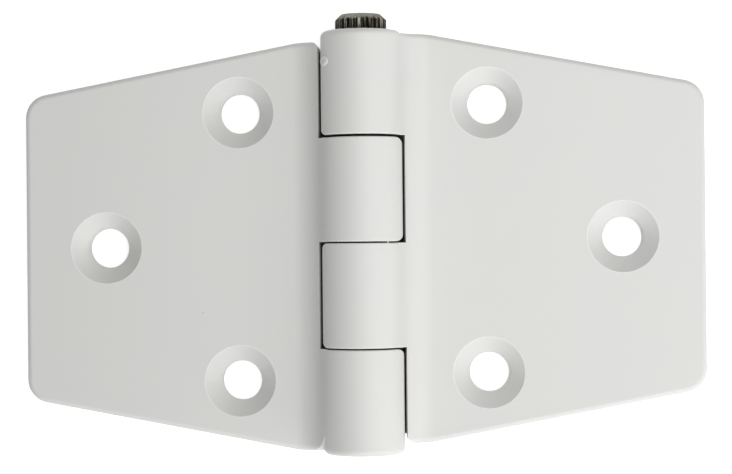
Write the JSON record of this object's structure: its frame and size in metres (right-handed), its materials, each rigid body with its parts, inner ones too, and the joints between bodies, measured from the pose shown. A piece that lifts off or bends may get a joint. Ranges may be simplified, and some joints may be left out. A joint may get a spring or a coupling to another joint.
{
  "type": "plastic butt hinge",
  "caption": "Moulded plastic hinge with two tapered leaves, countersunk screw holes and a knurled steel pin.",
  "frame": {"origin": "middle of the open hinge's footprint, on the plane of the leaves' backs; the pin's axis is straight above it", "axes": "+X across the leaves towards the leaf that holds the pin, +Y along the pin towards its knurled head, +Z out of the leaves' fronts"},
  "size_m": [0.1, 0.064, 0.0119],
  "materials": {
    "leaf_plastic": "satin, off-white, fine moulded surface",
    "pin_steel": "plain steel, straight knurl, turned chamfer"
  },
  "bodies": {
    "right_leaf": {"right_leaf": "leaf_plastic", "hinge_pin": "pin_steel"},
    "left_leaf": {"left_leaf": "leaf_plastic"}
  },
  "joints": [
    {"name": "leaf_fold", "type": "hinge", "parent": "right_leaf", "child": "left_leaf", "pos_m": [0, 0, 0.00595], "axis": [0, 1, 0], "range_deg": [-45, 170]}
  ]
}
